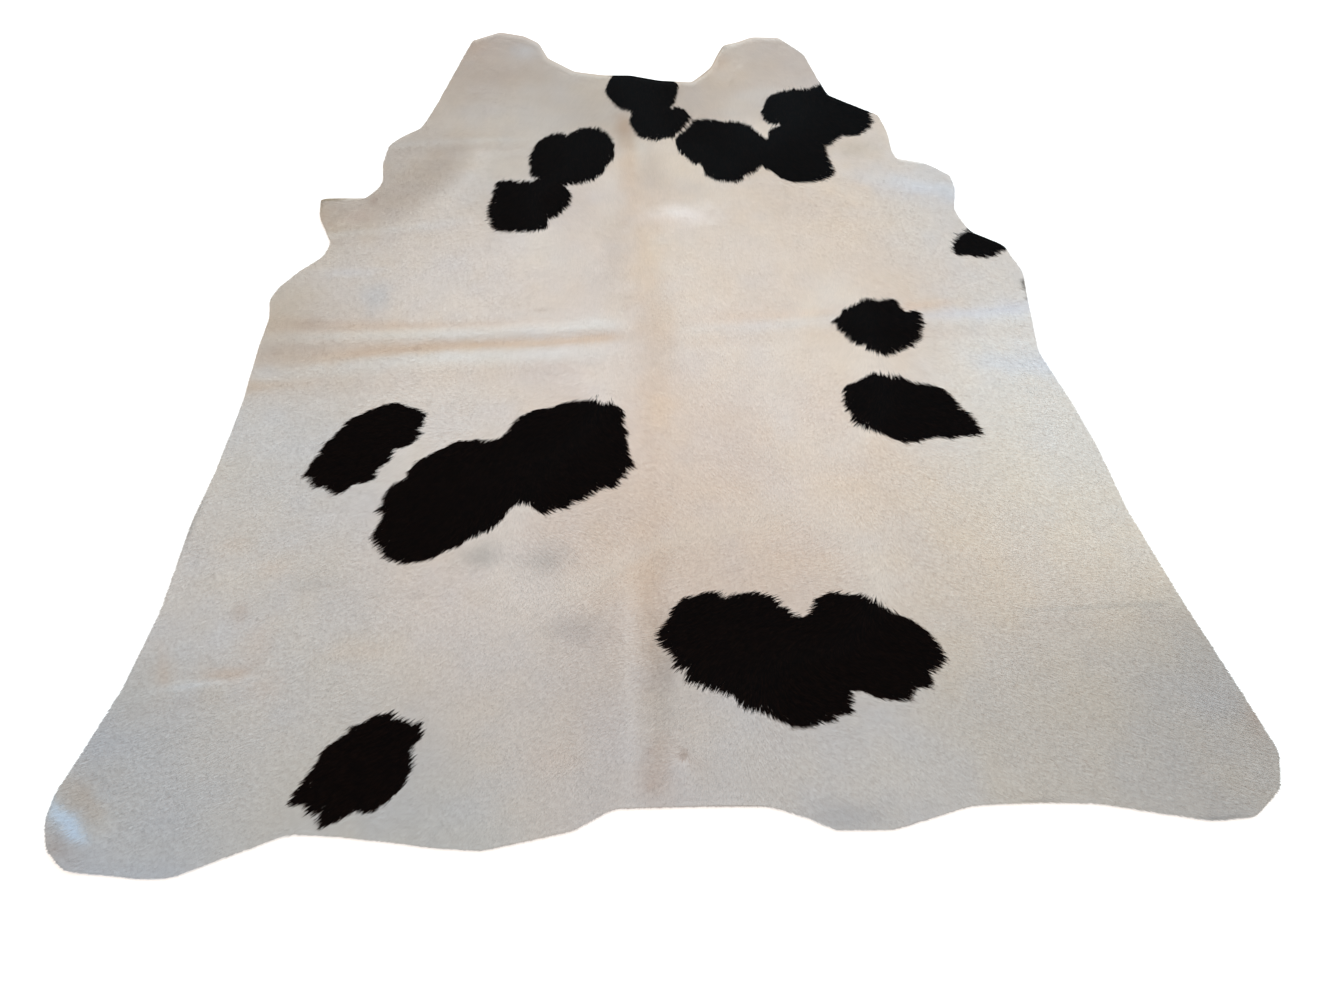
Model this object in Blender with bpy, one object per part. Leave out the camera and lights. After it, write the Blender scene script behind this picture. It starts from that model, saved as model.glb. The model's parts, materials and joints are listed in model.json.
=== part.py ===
"""Cowhide rug: one whole hide lying flat with its hair side up, the neck towards +Y.

Metres, +Z up. "Across" is X, positive to the hide's right as its neck points away from the
viewer, and "along" is Y, from the tail edge to the neck. The underside rests on Z = 0.
"""
import itertools
import math

import bpy
from mathutils import Matrix, Vector
from mathutils.geometry import delaunay_2d_cdt

# Driving dimensions
THICKNESS = 0.005        # leather of 2.5 mm and the short hair lying on it
CORNER_CUT = 0.010       # how far before and after each corner of the outline the rim turns
CORNER_STEPS = 2         # straight pieces in each rounded corner
RIM_STEP = 0.016         # longest piece of the rim
REST_STEP = 0.120        # spacing of the points where the hide lies flat
FOLD_STEP = 0.044        # spacing of the points along a fold
FOLD_ROWS = (0.0, -0.35, 0.35, -0.7, 0.7, -1.0, 1.0)  # rows across a fold, in half widths
CURL_RINGS = (0.25, 0.50, 0.75, 1.0)     # rings of points round a curl's middle, in reaches
LEAST_GAP = 0.0095       # no two points of the surface are closer than this

HAIR_CREAM = (0.72, 0.62, 0.50, 1.0)
HAIR_ROUGHNESS = 0.75

# The rim, clockwise from the left side of the neck. A row for each corner: across, along.
OUTLINE = {
    "left neck lobe": (
        (-0.550, 0.691), (-0.528, 0.755), (-0.446, 1.060), (-0.379, 1.094), (-0.313, 1.073),
        (-0.273, 1.039), (-0.247, 0.970),
    ),
    "nape": (
        (-0.177, 0.908), (-0.099, 0.889), (-0.032, 0.886), (0.041, 0.861), (0.125, 0.850),
    ),
    "right neck lobe": (
        (0.179, 0.909), (0.218, 1.002), (0.296, 1.044), (0.368, 1.039), (0.421, 0.970),
    ),
    "right shoulder": ((0.466, 0.785), (0.582, 0.693), (0.594, 0.620), (0.593, 0.529)),
    "right foreleg": ((0.669, 0.505), (0.717, 0.456), (0.718, 0.408), (0.702, 0.330)),
    "right belly": (
        (0.721, 0.267), (0.787, 0.220), (0.813, 0.130), (0.792, -0.107), (0.827, -0.253),
        (0.846, -0.360), (0.861, -0.501), (0.903, -0.700), (0.940, -0.850),
    ),
    "right hind leg": (
        (0.970, -0.973), (0.951, -1.029), (0.900, -1.069), (0.828, -1.073),
    ),
    "tail edge": (
        (0.659, -1.039), (0.565, -1.034), (0.466, -1.035), (0.336, -1.068), (0.244, -1.064),
        (0.206, -1.043), (0.148, -1.025), (0.049, -1.021), (-0.101, -1.019), (-0.164, -1.051),
        (-0.301, -1.075), (-0.374, -1.067), (-0.443, -1.055), (-0.533, -1.042),
        (-0.600, -1.037),
    ),
    "left hind leg": (
        (-0.764, -1.095), (-0.809, -1.095), (-0.925, -1.079), (-0.955, -1.049),
        (-0.969, -1.009), (-0.968, -0.962),
    ),
    "left belly": (
        (-0.908, -0.788), (-0.879, -0.642), (-0.866, -0.463), (-0.846, -0.354),
        (-0.825, -0.169), (-0.820, -0.030), (-0.813, 0.052), (-0.822, 0.106),
        (-0.807, 0.146), (-0.767, 0.200), (-0.723, 0.242),
    ),
    "left foreleg": (
        (-0.716, 0.282), (-0.753, 0.368), (-0.756, 0.426), (-0.710, 0.432), (-0.651, 0.433),
    ),
    "left shoulder": ((-0.621, 0.479), (-0.629, 0.557), (-0.620, 0.628), (-0.597, 0.657)),
}

# Where the hide stands up off the floor along a fold. A row for each section of the fold:
# across, along, height of its crest, half width of its foot.
FOLDS = {
    "spine": (
        (-0.034, 0.690, 0.000, 0.034), (-0.033, 0.610, 0.003, 0.036),
        (-0.030, 0.400, 0.003, 0.050), (-0.026, 0.170, 0.002, 0.052),
        (-0.016, -0.010, 0.002, 0.050), (-0.006, -0.200, 0.001, 0.048),
        (-0.006, -0.420, 0.001, 0.050), (-0.014, -0.660, 0.002, 0.046),
        (-0.026, -0.900, 0.002, 0.042), (-0.034, -1.080, 0.001, 0.040),
    ),
    "middle fold, far crest on the left": (
        (-0.900, -0.024, 0.0010, 0.044), (-0.740, -0.022, 0.0020, 0.040),
        (-0.590, -0.018, 0.0025, 0.036), (-0.430, -0.014, 0.0028, 0.033),
        (-0.250, -0.008, 0.0028, 0.031), (-0.110, -0.004, 0.0020, 0.030),
        (-0.050, -0.004, 0.0000, 0.028),
    ),
    "middle fold, near crest on the left": (
        (-0.900, -0.135, 0.003, 0.064), (-0.740, -0.124, 0.003, 0.060),
        (-0.560, -0.112, 0.003, 0.056), (-0.380, -0.100, 0.003, 0.054),
        (-0.180, -0.092, 0.0025, 0.052), (-0.060, -0.086, 0.000, 0.044),
    ),
    "middle fold on the right": (
        (-0.020, -0.038, 0.000, 0.030), (0.060, -0.034, 0.001, 0.038),
        (0.280, -0.022, 0.0015, 0.042), (0.480, -0.020, 0.002, 0.042),
        (0.640, -0.024, 0.003, 0.046), (0.900, -0.024, 0.003, 0.048),
    ),
    "withers": (
        (-0.010, 0.340, 0.000, 0.034), (0.050, 0.348, 0.0015, 0.040),
        (0.120, 0.358, 0.001, 0.038), (0.200, 0.366, 0.000, 0.034),
    ),
    "left neck crease": (
        (-0.700, 0.602, 0.001, 0.034), (-0.530, 0.614, 0.002, 0.034),
        (-0.380, 0.617, 0.0015, 0.032), (-0.250, 0.617, 0.000, 0.030),
    ),
    "left foreleg crease": (
        (-0.800, 0.280, 0.003, 0.034), (-0.645, 0.308, 0.0025, 0.034),
        (-0.520, 0.318, 0.0015, 0.034), (-0.410, 0.344, 0.000, 0.030),
    ),
    "right shoulder crease": (
        (0.420, 0.486, 0.000, 0.036), (0.525, 0.440, 0.002, 0.042),
        (0.650, 0.404, 0.003, 0.046), (0.790, 0.366, 0.003, 0.046),
    ),
    "left haunch crease": (
        (-0.940, -0.830, 0.001, 0.032), (-0.850, -0.806, 0.002, 0.034),
        (-0.770, -0.797, 0.002, 0.032), (-0.660, -0.790, 0.000, 0.030),
    ),
    "right haunch crease": (
        (0.530, -0.716, 0.000, 0.030), (0.660, -0.716, 0.001, 0.034),
        (0.790, -0.715, 0.001, 0.034), (0.980, -0.706, 0.001, 0.034),
    ),
}

# Edges that curl up: middle of the curl, its reach and its height
CURLS = {
    "left hind corner": ((-0.990, -1.045), 0.130, 0.011),
    "right neck lobe, inner edge": ((0.185, 0.975), 0.100, 0.009),
    "left foreleg flap": ((-0.775, 0.415), 0.110, 0.008),
}


def remove_startup_objects():
    for found in list(bpy.data.objects):
        bpy.data.objects.remove(found, do_unlink=True)


def rounded(corners):
    """The closed outline with every corner turned into a short curve."""
    points = []
    for index, corner in enumerate(corners):
        before = corners[index - 1]
        after = corners[(index + 1) % len(corners)]
        start = corner + (before - corner).normalized() * min(
            CORNER_CUT, 0.45 * (before - corner).length
        )
        end = corner + (after - corner).normalized() * min(
            CORNER_CUT, 0.45 * (after - corner).length
        )
        for step in range(CORNER_STEPS + 1):
            share = step / CORNER_STEPS
            points.append(start.lerp(corner, share).lerp(corner.lerp(end, share), share))
    return points


def divided(points, longest):
    """The same closed line with its long straight stretches cut into equal pieces."""
    line = []
    for index, point in enumerate(points):
        after = points[(index + 1) % len(points)]
        pieces = max(1, math.ceil((after - point).length / longest))
        line.extend(point.lerp(after, piece / pieces) for piece in range(pieces))
    return line


def centred(points):
    """The line moved so that its bounding box has its middle at the origin."""
    across = [point.x for point in points]
    along = [point.y for point in points]
    middle = Vector((min(across) + max(across), min(along) + max(along))) / 2
    return [point - middle for point in points]


def make_rim():
    corners = [Vector(corner) for run in OUTLINE.values() for corner in run]
    return centred(divided(rounded(corners), RIM_STEP))


def smooth(share):
    """0 at 0 and 1 at 1, level at both ends."""
    share = min(max(share, 0.0), 1.0)
    return share * share * (3.0 - 2.0 * share)


def fold_pieces():
    """The straight pieces of all the folds: each end is a place, a crest height and a half width."""
    for sections in FOLDS.values():
        ends = [(Vector(section[:2]), *section[2:]) for section in sections]
        yield from zip(ends, ends[1:])


def between(first, last, share):
    return first + (last - first) * share


def lift(point):
    """Height of the hide's underside over the floor at a place on it."""
    height = 0.0
    for (start, first_crest, first_half), (end, last_crest, last_half) in fold_pieces():
        run = end - start
        share = min(max((point - start).dot(run) / run.length_squared, 0.0), 1.0)
        away = (point - start.lerp(end, share)).length
        rise = smooth(1.0 - away / between(first_half, last_half, share))
        height = max(height, between(first_crest, last_crest, share) * rise)
    for middle, reach, crest in CURLS.values():
        away = (point - Vector(middle)).length
        height = max(height, crest * smooth(1.0 - away / reach))
    return height


def is_inside(point, rim):
    """True if the place is within the rim, by counting the rim's crossings of a line."""
    inside = False
    for index, corner in enumerate(rim):
        before = rim[index - 1]
        if (corner.y > point.y) != (before.y > point.y):
            share = (point.y - corner.y) / (before.y - corner.y)
            inside ^= point.x < corner.x + share * (before.x - corner.x)
    return inside


def fold_rows():
    """Rows of places along each piece of fold, every crest before the rows beside it."""
    for row in FOLD_ROWS:
        for (start, _, first_half), (end, _, last_half) in fold_pieces():
            side = (end - start).orthogonal().normalized()
            steps = max(1, round((end - start).length / FOLD_STEP))
            yield [
                start.lerp(end, step / steps)
                + side * row * between(first_half, last_half, step / steps)
                for step in range(steps + 1)
            ]


def curl_rows():
    """Rings of places round the middle of each curl, out to where it reaches the floor."""
    for middle, reach, _ in CURLS.values():
        for ring in CURL_RINGS:
            spoke = Vector((ring * reach, 0.0))
            turns = round(math.tau * spoke.length / FOLD_STEP)
            yield [
                Vector(middle) + Matrix.Rotation(math.tau * turn / turns, 2) @ spoke
                for turn in range(turns)
            ]


def rest_rows(rim):
    """A wide grid for the stretches that lie flat."""
    columns = math.ceil(max(point.x for point in rim) / REST_STEP)
    rows = math.ceil(max(point.y for point in rim) / REST_STEP)
    for row in range(-rows, rows + 1):
        places = [Vector((column, row)) * REST_STEP for column in range(-columns, columns + 1)]
        yield [place for place in places if lift(place) == 0.0]


class Surface:
    """Places within the rim, none too close to another, and the lines that join them."""

    def __init__(self, rim):
        self.rim = rim
        self.places = list(rim)
        self.lines = [(index, (index + 1) % len(rim)) for index in range(len(rim))]
        self.cells = {}
        for index, place in enumerate(rim):
            self.cells.setdefault(self.cell_of(place), []).append(index)

    def cell_of(self, place):
        return math.floor(place.x / LEAST_GAP), math.floor(place.y / LEAST_GAP)

    def neighbour(self, place):
        """A place that is already there and too close to this one, if there is one."""
        column, row = self.cell_of(place)
        for cell in itertools.product((column - 1, column, column + 1), (row - 1, row, row + 1)):
            for index in self.cells.get(cell, ()):
                if (self.places[index] - place).length < LEAST_GAP:
                    return index
        return None

    def add_row(self, row, joined=False):
        before = None
        for place in row:
            index = self.neighbour(place)
            if index is None and is_inside(place, self.rim):
                index = len(self.places)
                self.places.append(place)
                self.cells.setdefault(self.cell_of(place), []).append(index)
            if joined and None not in (before, index) and before != index:
                self.lines.append((before, index))
            before = index


def triangulated(rim):
    """The rim filled with triangles whose edges follow the crests of the folds."""
    surface = Surface(rim)
    crests = sum(len(sections) - 1 for sections in FOLDS.values())
    for index, row in enumerate(fold_rows()):
        surface.add_row(row, joined=index < crests)
    for row in [*curl_rows(), *rest_rows(rim)]:
        surface.add_row(row)
    places, _, triangles, *_ = delaunay_2d_cdt(surface.places, surface.lines, [], 1, 1e-6)
    return places, triangles


def make_hide():
    """One closed solid: the hair side, the flesh side and the cut rim between them."""
    places, triangles = triangulated(make_rim())
    lower = [(place.x, place.y, lift(place)) for place in places]
    upper = [(x, y, z + THICKNESS) for x, y, z in lower]
    count = len(lower)

    faces = [tuple(index + count for index in triangle) for triangle in triangles]
    faces += [tuple(reversed(triangle)) for triangle in triangles]
    inner_edges = {
        (triangle[step - 1], triangle[step]) for triangle in triangles for step in range(3)
    }
    faces += [
        (start, end, end + count, start + count)
        for start, end in inner_edges
        if (end, start) not in inner_edges
    ]
    mesh = bpy.data.meshes.new("hide")
    mesh.from_pydata(lower + upper, [], faces)
    mesh.validate()
    mesh.shade_smooth()
    mesh.set_sharp_from_angle(angle=math.radians(40))
    mesh.materials.append(make_hair_material())
    hide = bpy.data.objects.new("hide", mesh)
    bpy.context.scene.collection.objects.link(hide)
    return hide


def make_hair_material():
    material = bpy.data.materials.new("cream_hair_on_leather")
    material.use_nodes = True
    material.diffuse_color = HAIR_CREAM
    shader = material.node_tree.nodes["Principled BSDF"]
    shader.inputs["Base Color"].default_value = HAIR_CREAM
    shader.inputs["Roughness"].default_value = HAIR_ROUGHNESS
    shader.inputs["Metallic"].default_value = 0.0
    return material


remove_startup_objects()
make_hide()
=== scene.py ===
"""Cowhide rug lying flat with its hair side up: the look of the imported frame.

Metres, +Z up, but places and sizes in the tables from RIDGES to LIE are in millimetres. "Across"
is X, positive to the right in the photo, and "along" is Y, from the tail edge to the neck. The
leather is one closed skin with soft folds, and each hair of its short lying coat is a long thin
triangle.
"""
import json
import math

import bpy
import numpy as np
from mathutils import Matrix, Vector
from mathutils.geometry import delaunay_2d_cdt

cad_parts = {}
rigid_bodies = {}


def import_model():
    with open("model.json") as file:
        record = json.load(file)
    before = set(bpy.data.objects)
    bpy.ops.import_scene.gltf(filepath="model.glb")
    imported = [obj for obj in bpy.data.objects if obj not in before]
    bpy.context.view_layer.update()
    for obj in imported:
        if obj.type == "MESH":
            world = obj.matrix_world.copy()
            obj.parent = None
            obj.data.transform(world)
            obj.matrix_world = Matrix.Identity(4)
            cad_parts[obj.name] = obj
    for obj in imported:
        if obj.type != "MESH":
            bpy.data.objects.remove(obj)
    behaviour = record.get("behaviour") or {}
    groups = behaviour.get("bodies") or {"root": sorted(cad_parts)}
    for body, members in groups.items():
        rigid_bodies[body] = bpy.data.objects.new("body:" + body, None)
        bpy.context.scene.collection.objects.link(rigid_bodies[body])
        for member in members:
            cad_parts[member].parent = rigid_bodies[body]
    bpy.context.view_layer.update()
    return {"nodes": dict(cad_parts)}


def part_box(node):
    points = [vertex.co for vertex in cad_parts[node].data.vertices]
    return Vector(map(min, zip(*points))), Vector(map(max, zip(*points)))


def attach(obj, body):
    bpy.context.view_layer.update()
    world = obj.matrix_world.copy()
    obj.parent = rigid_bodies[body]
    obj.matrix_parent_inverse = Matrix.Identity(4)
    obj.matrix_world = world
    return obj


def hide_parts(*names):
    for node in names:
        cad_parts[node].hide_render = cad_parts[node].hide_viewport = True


TINY = 1e-12             # stands for 0 where a value is divided by
MERGE = 1e-6             # points of the skin closer than this would be one
RIM_DIGITS = 6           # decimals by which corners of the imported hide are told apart
RUN = 32                 # pieces of an outline looked at together

# The leather
LEATHER = 0.0025         # thickness
CUT_STEP = 0.006         # longest piece of the cut edge
CUT_BEND = 0.3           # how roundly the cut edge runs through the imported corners
CUT_WAVER = 0.0003       # how far the cut edge strays from a clean curve
WALL_RISE = 0.3          # the normals of packed faces rise less than this in the cut edge
SKIN_STEP = 0.0125       # spacing of the points within the cut edge
SKIN_JITTER = 0.15       # in that spacing, how far a point is off its place
RIM_GAP = 0.55           # in that spacing, least gap between those points and the cut edge
RIM_REACH = 0.030        # how far from the cut edge distances to it are measured
CREASE = 50.0            # degrees, least angle of a sharp edge
GRID_STEP = 0.004        # spacing of the table of heights that everything lies on
GRID_MARGIN = 0.060      # how far that table goes past the hide

# The coat
HAIR_SPACING = 0.00200   # between the roots of neighbouring hairs
ROW_SPACING = 0.866      # in that spacing, between rows of roots
ROOT_JITTER = 0.45       # in that spacing, how far a root is off its place
HAIR_LENGTH = 0.021
LENGTH_RANGE = (0.8, 1.15)
HAIR_WIDTH = 0.0025      # at the root
WIDTH_RANGE = (0.8, 1.2)
HAIR_RISE = 0.0009       # of a tip over the skin
RISE_STRAY = 0.15        # share of it by which hairs differ
HIGHEST_TIP = 0.0045     # over the skin
HAIR_SINK = 0.0003       # of a root into the skin
HAIR_ROLL = 0.7          # degrees, how unevenly hairs lean to one side
HAIR_STRAY = 3.0         # degrees, how unevenly neighbouring hairs point
HAIR_LEAN = 0.05         # how far the normals of a hair lean towards its root
ROOT_SHADE = 0.985       # colour of the root, as a share of the tip's: painted shade where other hairs cover it
SHADE_RANGE = (0.960, 1.040)  # by which the colour of single hairs differs
TUFT = 0.0048            # width of a tuft
TUFT_SLIM = 3.6          # how many times longer than wide a tuft is
TUFT_JITTER = 0.42       # in tuft widths, how far a tuft is off its place
TUFTS_AROUND = 2         # how many tufts away, each way, a hair's own is looked for
TUFT_PULL = 0.05         # share of its way to the tuft's middle line that a hair's tip moves
TUFT_STRAY = 2.0         # degrees, how unevenly tufts point
TUFT_LENGTH = 0.10       # share by which tufts differ in length, then in rise and in shade
TUFT_RISE = 0.05
TUFT_SHADE = 0.016
TUFT_ROLL = 0.2          # share of a hair's roll that its whole tuft has
OVERHANG = 0.0006        # of the hair past the cut edge
SHORTEST = 0.2           # share of its length that a hair keeps at the cut edge, at least
CLEARANCE = 0.0005       # least gap between the middle of a hair and the skin
CLEARED = (0.33, 0.66)   # places along a hair where that gap is kept
BEND_GAP = 0.0009        # a hair over a fold is short enough to stay this close to it
BEND_SAMPLE = 0.006      # how far to each side of a root the fold's bend is measured
FLATTEST = 1e-3          # bend, in radians a metre, that stands for flat ground

# The black patches
SHOWN = 0.52             # how far along a hair its colour shows most, as others cover its root
PATCH_STEP = 0.008       # longest piece of a patch's outline
PATCH_BEND = 0.5         # how roundly the outline runs through its points
PATCH_REACH = 0.045      # how far from the outline distances to it are measured
PATCH_GRAIN = 0.0013     # how unevenly single hairs keep to the outline
PATCH_TEETH = 0.0050     # how far tufts jut out where the edge runs across them
PATCH_PULL = 0.75        # tufts at the edge are tighter
PATCH_PULL_REACH = 0.012
BLACK_RISE = 0.0003      # of the black hair over the pale hair
BROWN_EDGE = 0.005       # how far in from the edge the black hair is brown
EDGE_BROWN = 0.7         # how brown it is there

# Random waves, a row for each: how strong, how long and which seed
LATTICE = 256            # random values in a row before they repeat
CUT_WAVES = ((0.7, 0.045, 11), (0.3, 0.014, 12))
WARM_WAVES = ((0.6, 0.110, 21), (0.5, 0.042, 22))
SHADE_WAVES = ((0.5, 0.070, 23), (0.6, 0.024, 24))
STREAK_WAVES = ((0.35, 0.030, 25),)
STAIN_WAVES = ((0.25, 0.020, 26),)
PATCH_WAVES = ((0.0016, 0.016, 31), (0.0010, 0.006, 32))
SWIRL_WAVES = ((9.0, 0.120, 41), (5.0, 0.030, 42))  # in degrees
TUFT_SEEDS = (51, 52)
ROOT_SEED = 61
HAIR_SEED = 62
SKIN_SEED = 71

# The camera
EYE = (-0.0344, -1.5192, 1.60)
LOOK_DOWN = 56.0         # degrees
LOOK_RIGHT = 2.3         # degrees
PICTURE_WIDTH = 1333
FOCAL_PIXELS = 1030
SENSOR = 36.0
CLIP = (0.05, 60.0)

# The room, the window in it and the floor
ROOM_COLOUR = (1.0, 0.90, 0.82)
ROOM_STRENGTH = 0.97
WINDOW_COLOUR = (0.35, 0.78, 1.0)
WINDOW_STRENGTH = 2.1
WINDOW_WIDTH = 50.0      # degrees
WINDOW_WAY = (0.30, 0.90, 0.60)
FLOOR_REACH = 12.0
FLOOR_TOP = -0.0005
# the floor's glow is painted light, so that shadows on it fade to white
FLOOR_GLOW = 0.35

# Colour, roughness and specular level of each material. Hair and the skin under it take their
# colour from the values of each hair or corner instead.
SURFACES = {
    "cream_hair": ((214, 204, 192), 0.62, 0.35),
    "black_hair": ((10, 8, 8), 0.55, 0.01),
    "skin_under_the_hair": ((200, 186, 170), 0.9, 0.0),
    "flesh_side": ((186, 164, 136), 0.9, 0.2),
    "cut_edge": ((138, 130, 122), 0.85, 0.2),
    "pale_floor": ((249, 249, 249), 0.9, 0.0),
}
BLACK_HAIR = (8, 6, 6)
BROWN_HAIR = (24, 14, 11)
BLACK_SKIN = (12, 9, 9)

# Ridges, where the hide stands up off the floor. A row for each section: across, along,
# height of the crest, half width of the foot.
RIDGES = {
    "spine": (
        (-34, 690, 0, 34), (-33, 610, 1.6, 36), (-30, 400, 1.8, 50), (-26, 170, 1.6, 52),
        (-16, -10, 1.6, 50), (-6, -200, 0.8, 48), (-6, -420, 0.8, 50), (-14, -660, 1.2, 46),
        (-26, -900, 1.2, 42), (-34, -1080, 0.6, 40),
    ),
    "middle fold, far crest on the left": (
        (-900, -24, 0.6, 44), (-740, -22, 1.2, 40), (-590, -18, 1.4, 36), (-430, -14, 1.5, 33),
        (-250, -8, 1.5, 31), (-110, -4, 1.2, 30), (-50, -4, 0, 28),
    ),
    "middle fold, near crest on the left": (
        (-900, -135, 1.4, 64), (-740, -124, 1.4, 60), (-560, -112, 1.4, 56), (-380, -100, 1.5, 54),
        (-180, -92, 1.2, 52), (-60, -86, 0, 44),
    ),
    "middle fold on the right": (
        (-20, -38, 0, 30), (60, -34, 0.3, 38), (280, -22, 0.5, 42), (480, -20, 0.8, 42),
        (640, -24, 1.2, 46), (900, -24, 1.2, 48),
    ),
    "withers": ((-10, 340, 0, 34), (50, 348, 0.6, 40), (120, 358, 0.5, 38), (200, 366, 0, 34)),
    "left neck crease": (
        (-700, 602, 0.3, 34), (-530, 614, 0.6, 34), (-380, 617, 0.6, 32), (-250, 617, 0, 30),
    ),
    "left foreleg crease": (
        (-800, 280, 0.8, 34), (-645, 308, 0.8, 34), (-520, 318, 0.6, 34), (-410, 344, 0, 30),
    ),
    "right shoulder crease": (
        (420, 486, 0, 36), (525, 440, 0.7, 42), (650, 404, 1, 46), (790, 366, 1, 46),
    ),
    "left haunch crease": (
        (-940, -830, 0.3, 32), (-850, -806, 0.8, 34), (-770, -797, 0.8, 32), (-660, -790, 0, 30),
    ),
    "right haunch crease": (
        (530, -716, 0, 30), (660, -716, 0.4, 34), (790, -715, 0.5, 34), (980, -706, 0.5, 34),
    ),
}

# Edges that curl up: across and along of the middle of the curl, its reach and its height
CURLS = {
    "left hind corner": (-990, -1045, 130, 11),
    "right neck lobe, inner edge": (185, 975, 100, 9),
    "left foreleg flap": (-775, 415, 110, 8),
}

# The coat's colour by place, as it shows in soft daylight: partly the hair's own tone, partly painted
# shade, darker and greyer towards the neck and the tail edge, and bluish in places, painted window
# light. Each is a wide pool that runs into its neighbours: across, along, reach, red, green, blue.
POOLS = {
    "left neck lobe": (-420, 980, 160, 181, 167, 156),
    "left neck, inner side": (-280, 840, 120, 189, 180, 170),
    "nape": (0, 840, 100, 186, 174, 162),
    "right neck lobe, inner side": (240, 900, 100, 193, 180, 167),
    "right neck lobe, outer side": (380, 920, 120, 195, 184, 175),
    "left shoulder, upper": (-460, 700, 120, 191, 182, 173),
    "left shoulder, lower": (-480, 500, 120, 188, 180, 171),
    "left shoulder, rim": (-640, 460, 100, 183, 171, 159),
    "left foreleg": (-740, 360, 80, 187, 174, 158),
    "left of the withers": (-340, 580, 120, 197, 190, 183),
    "withers": (-120, 380, 120, 204, 194, 186),
    "right of the withers": (120, 400, 140, 205, 190, 174),
    "right shoulder": (460, 420, 140, 214, 203, 191),
    "right shoulder, rim": (660, 420, 100, 204, 203, 203),
    "left ribs, upper": (-440, 260, 160, 210, 201, 192),
    "left belly, upper": (-680, 200, 110, 195, 189, 183),
    "left belly, rim": (-800, 60, 80, 184, 175, 163),
    "left belly": (-660, -20, 120, 198, 186, 174),
    "left ribs": (-320, 60, 180, 212, 202, 192),
    "middle": (160, 160, 220, 216, 205, 194),
    "left of the back": (-140, 120, 100, 205, 189, 175),
    "right ribs": (460, 140, 180, 211, 198, 184),
    "right belly": (760, 80, 100, 207, 204, 201),
    "right belly, below the fold": (740, -60, 80, 214, 214, 213),
    "right flank": (740, -220, 150, 215, 213, 208),
    "left flank": (-720, -260, 120, 194, 192, 189),
    "left loin": (-400, -160, 150, 206, 200, 194),
    "loin": (-140, -100, 140, 210, 197, 187),
    "right loin": (240, -260, 220, 213, 199, 186),
    "right flank, lower": (720, -420, 150, 210, 206, 197),
    "left haunch, upper": (-720, -520, 140, 192, 187, 182),
    "left haunch, inner": (-320, -620, 150, 199, 189, 182),
    "rump": (100, -500, 160, 198, 182, 168),
    "right haunch, upper": (560, -580, 160, 203, 192, 179),
    "left of the tail": (-280, -800, 100, 183, 175, 169),
    "left haunch, lower": (-600, -780, 130, 186, 181, 175),
    "left hind corner": (-880, -950, 120, 169, 170, 172),
    "left tail edge": (-500, -1000, 120, 173, 171, 168),
    "tail": (0, -900, 130, 181, 173, 168),
    "right tail edge": (300, -970, 130, 183, 180, 177),
    "right haunch, lower": (620, -860, 150, 181, 175, 166),
    "right hind corner": (880, -950, 130, 168, 165, 161),
    "left of the nape": (-150, 700, 80, 182, 170, 158),
    "right ribs, outer": (620, 260, 80, 208, 204, 199),
    "loin, lower": (60, -320, 90, 211, 197, 185),
}
POOL_SOFTNESS = 0.9      # how far pools run into each other
POOL_FLOOR = 1e-7        # least weight of a pool, however far off it is
WARMER = (2.2, 0.4, -3.0)  # how the waves of warmth change the colour
LIGHTER = 2.0            # and those of shade
COLOUR_RANGE = (20.0, 250.0)
COAT_GAIN = np.array((1.165, 1.130, 1.140))  # makes up for the hairs shading each other
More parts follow.
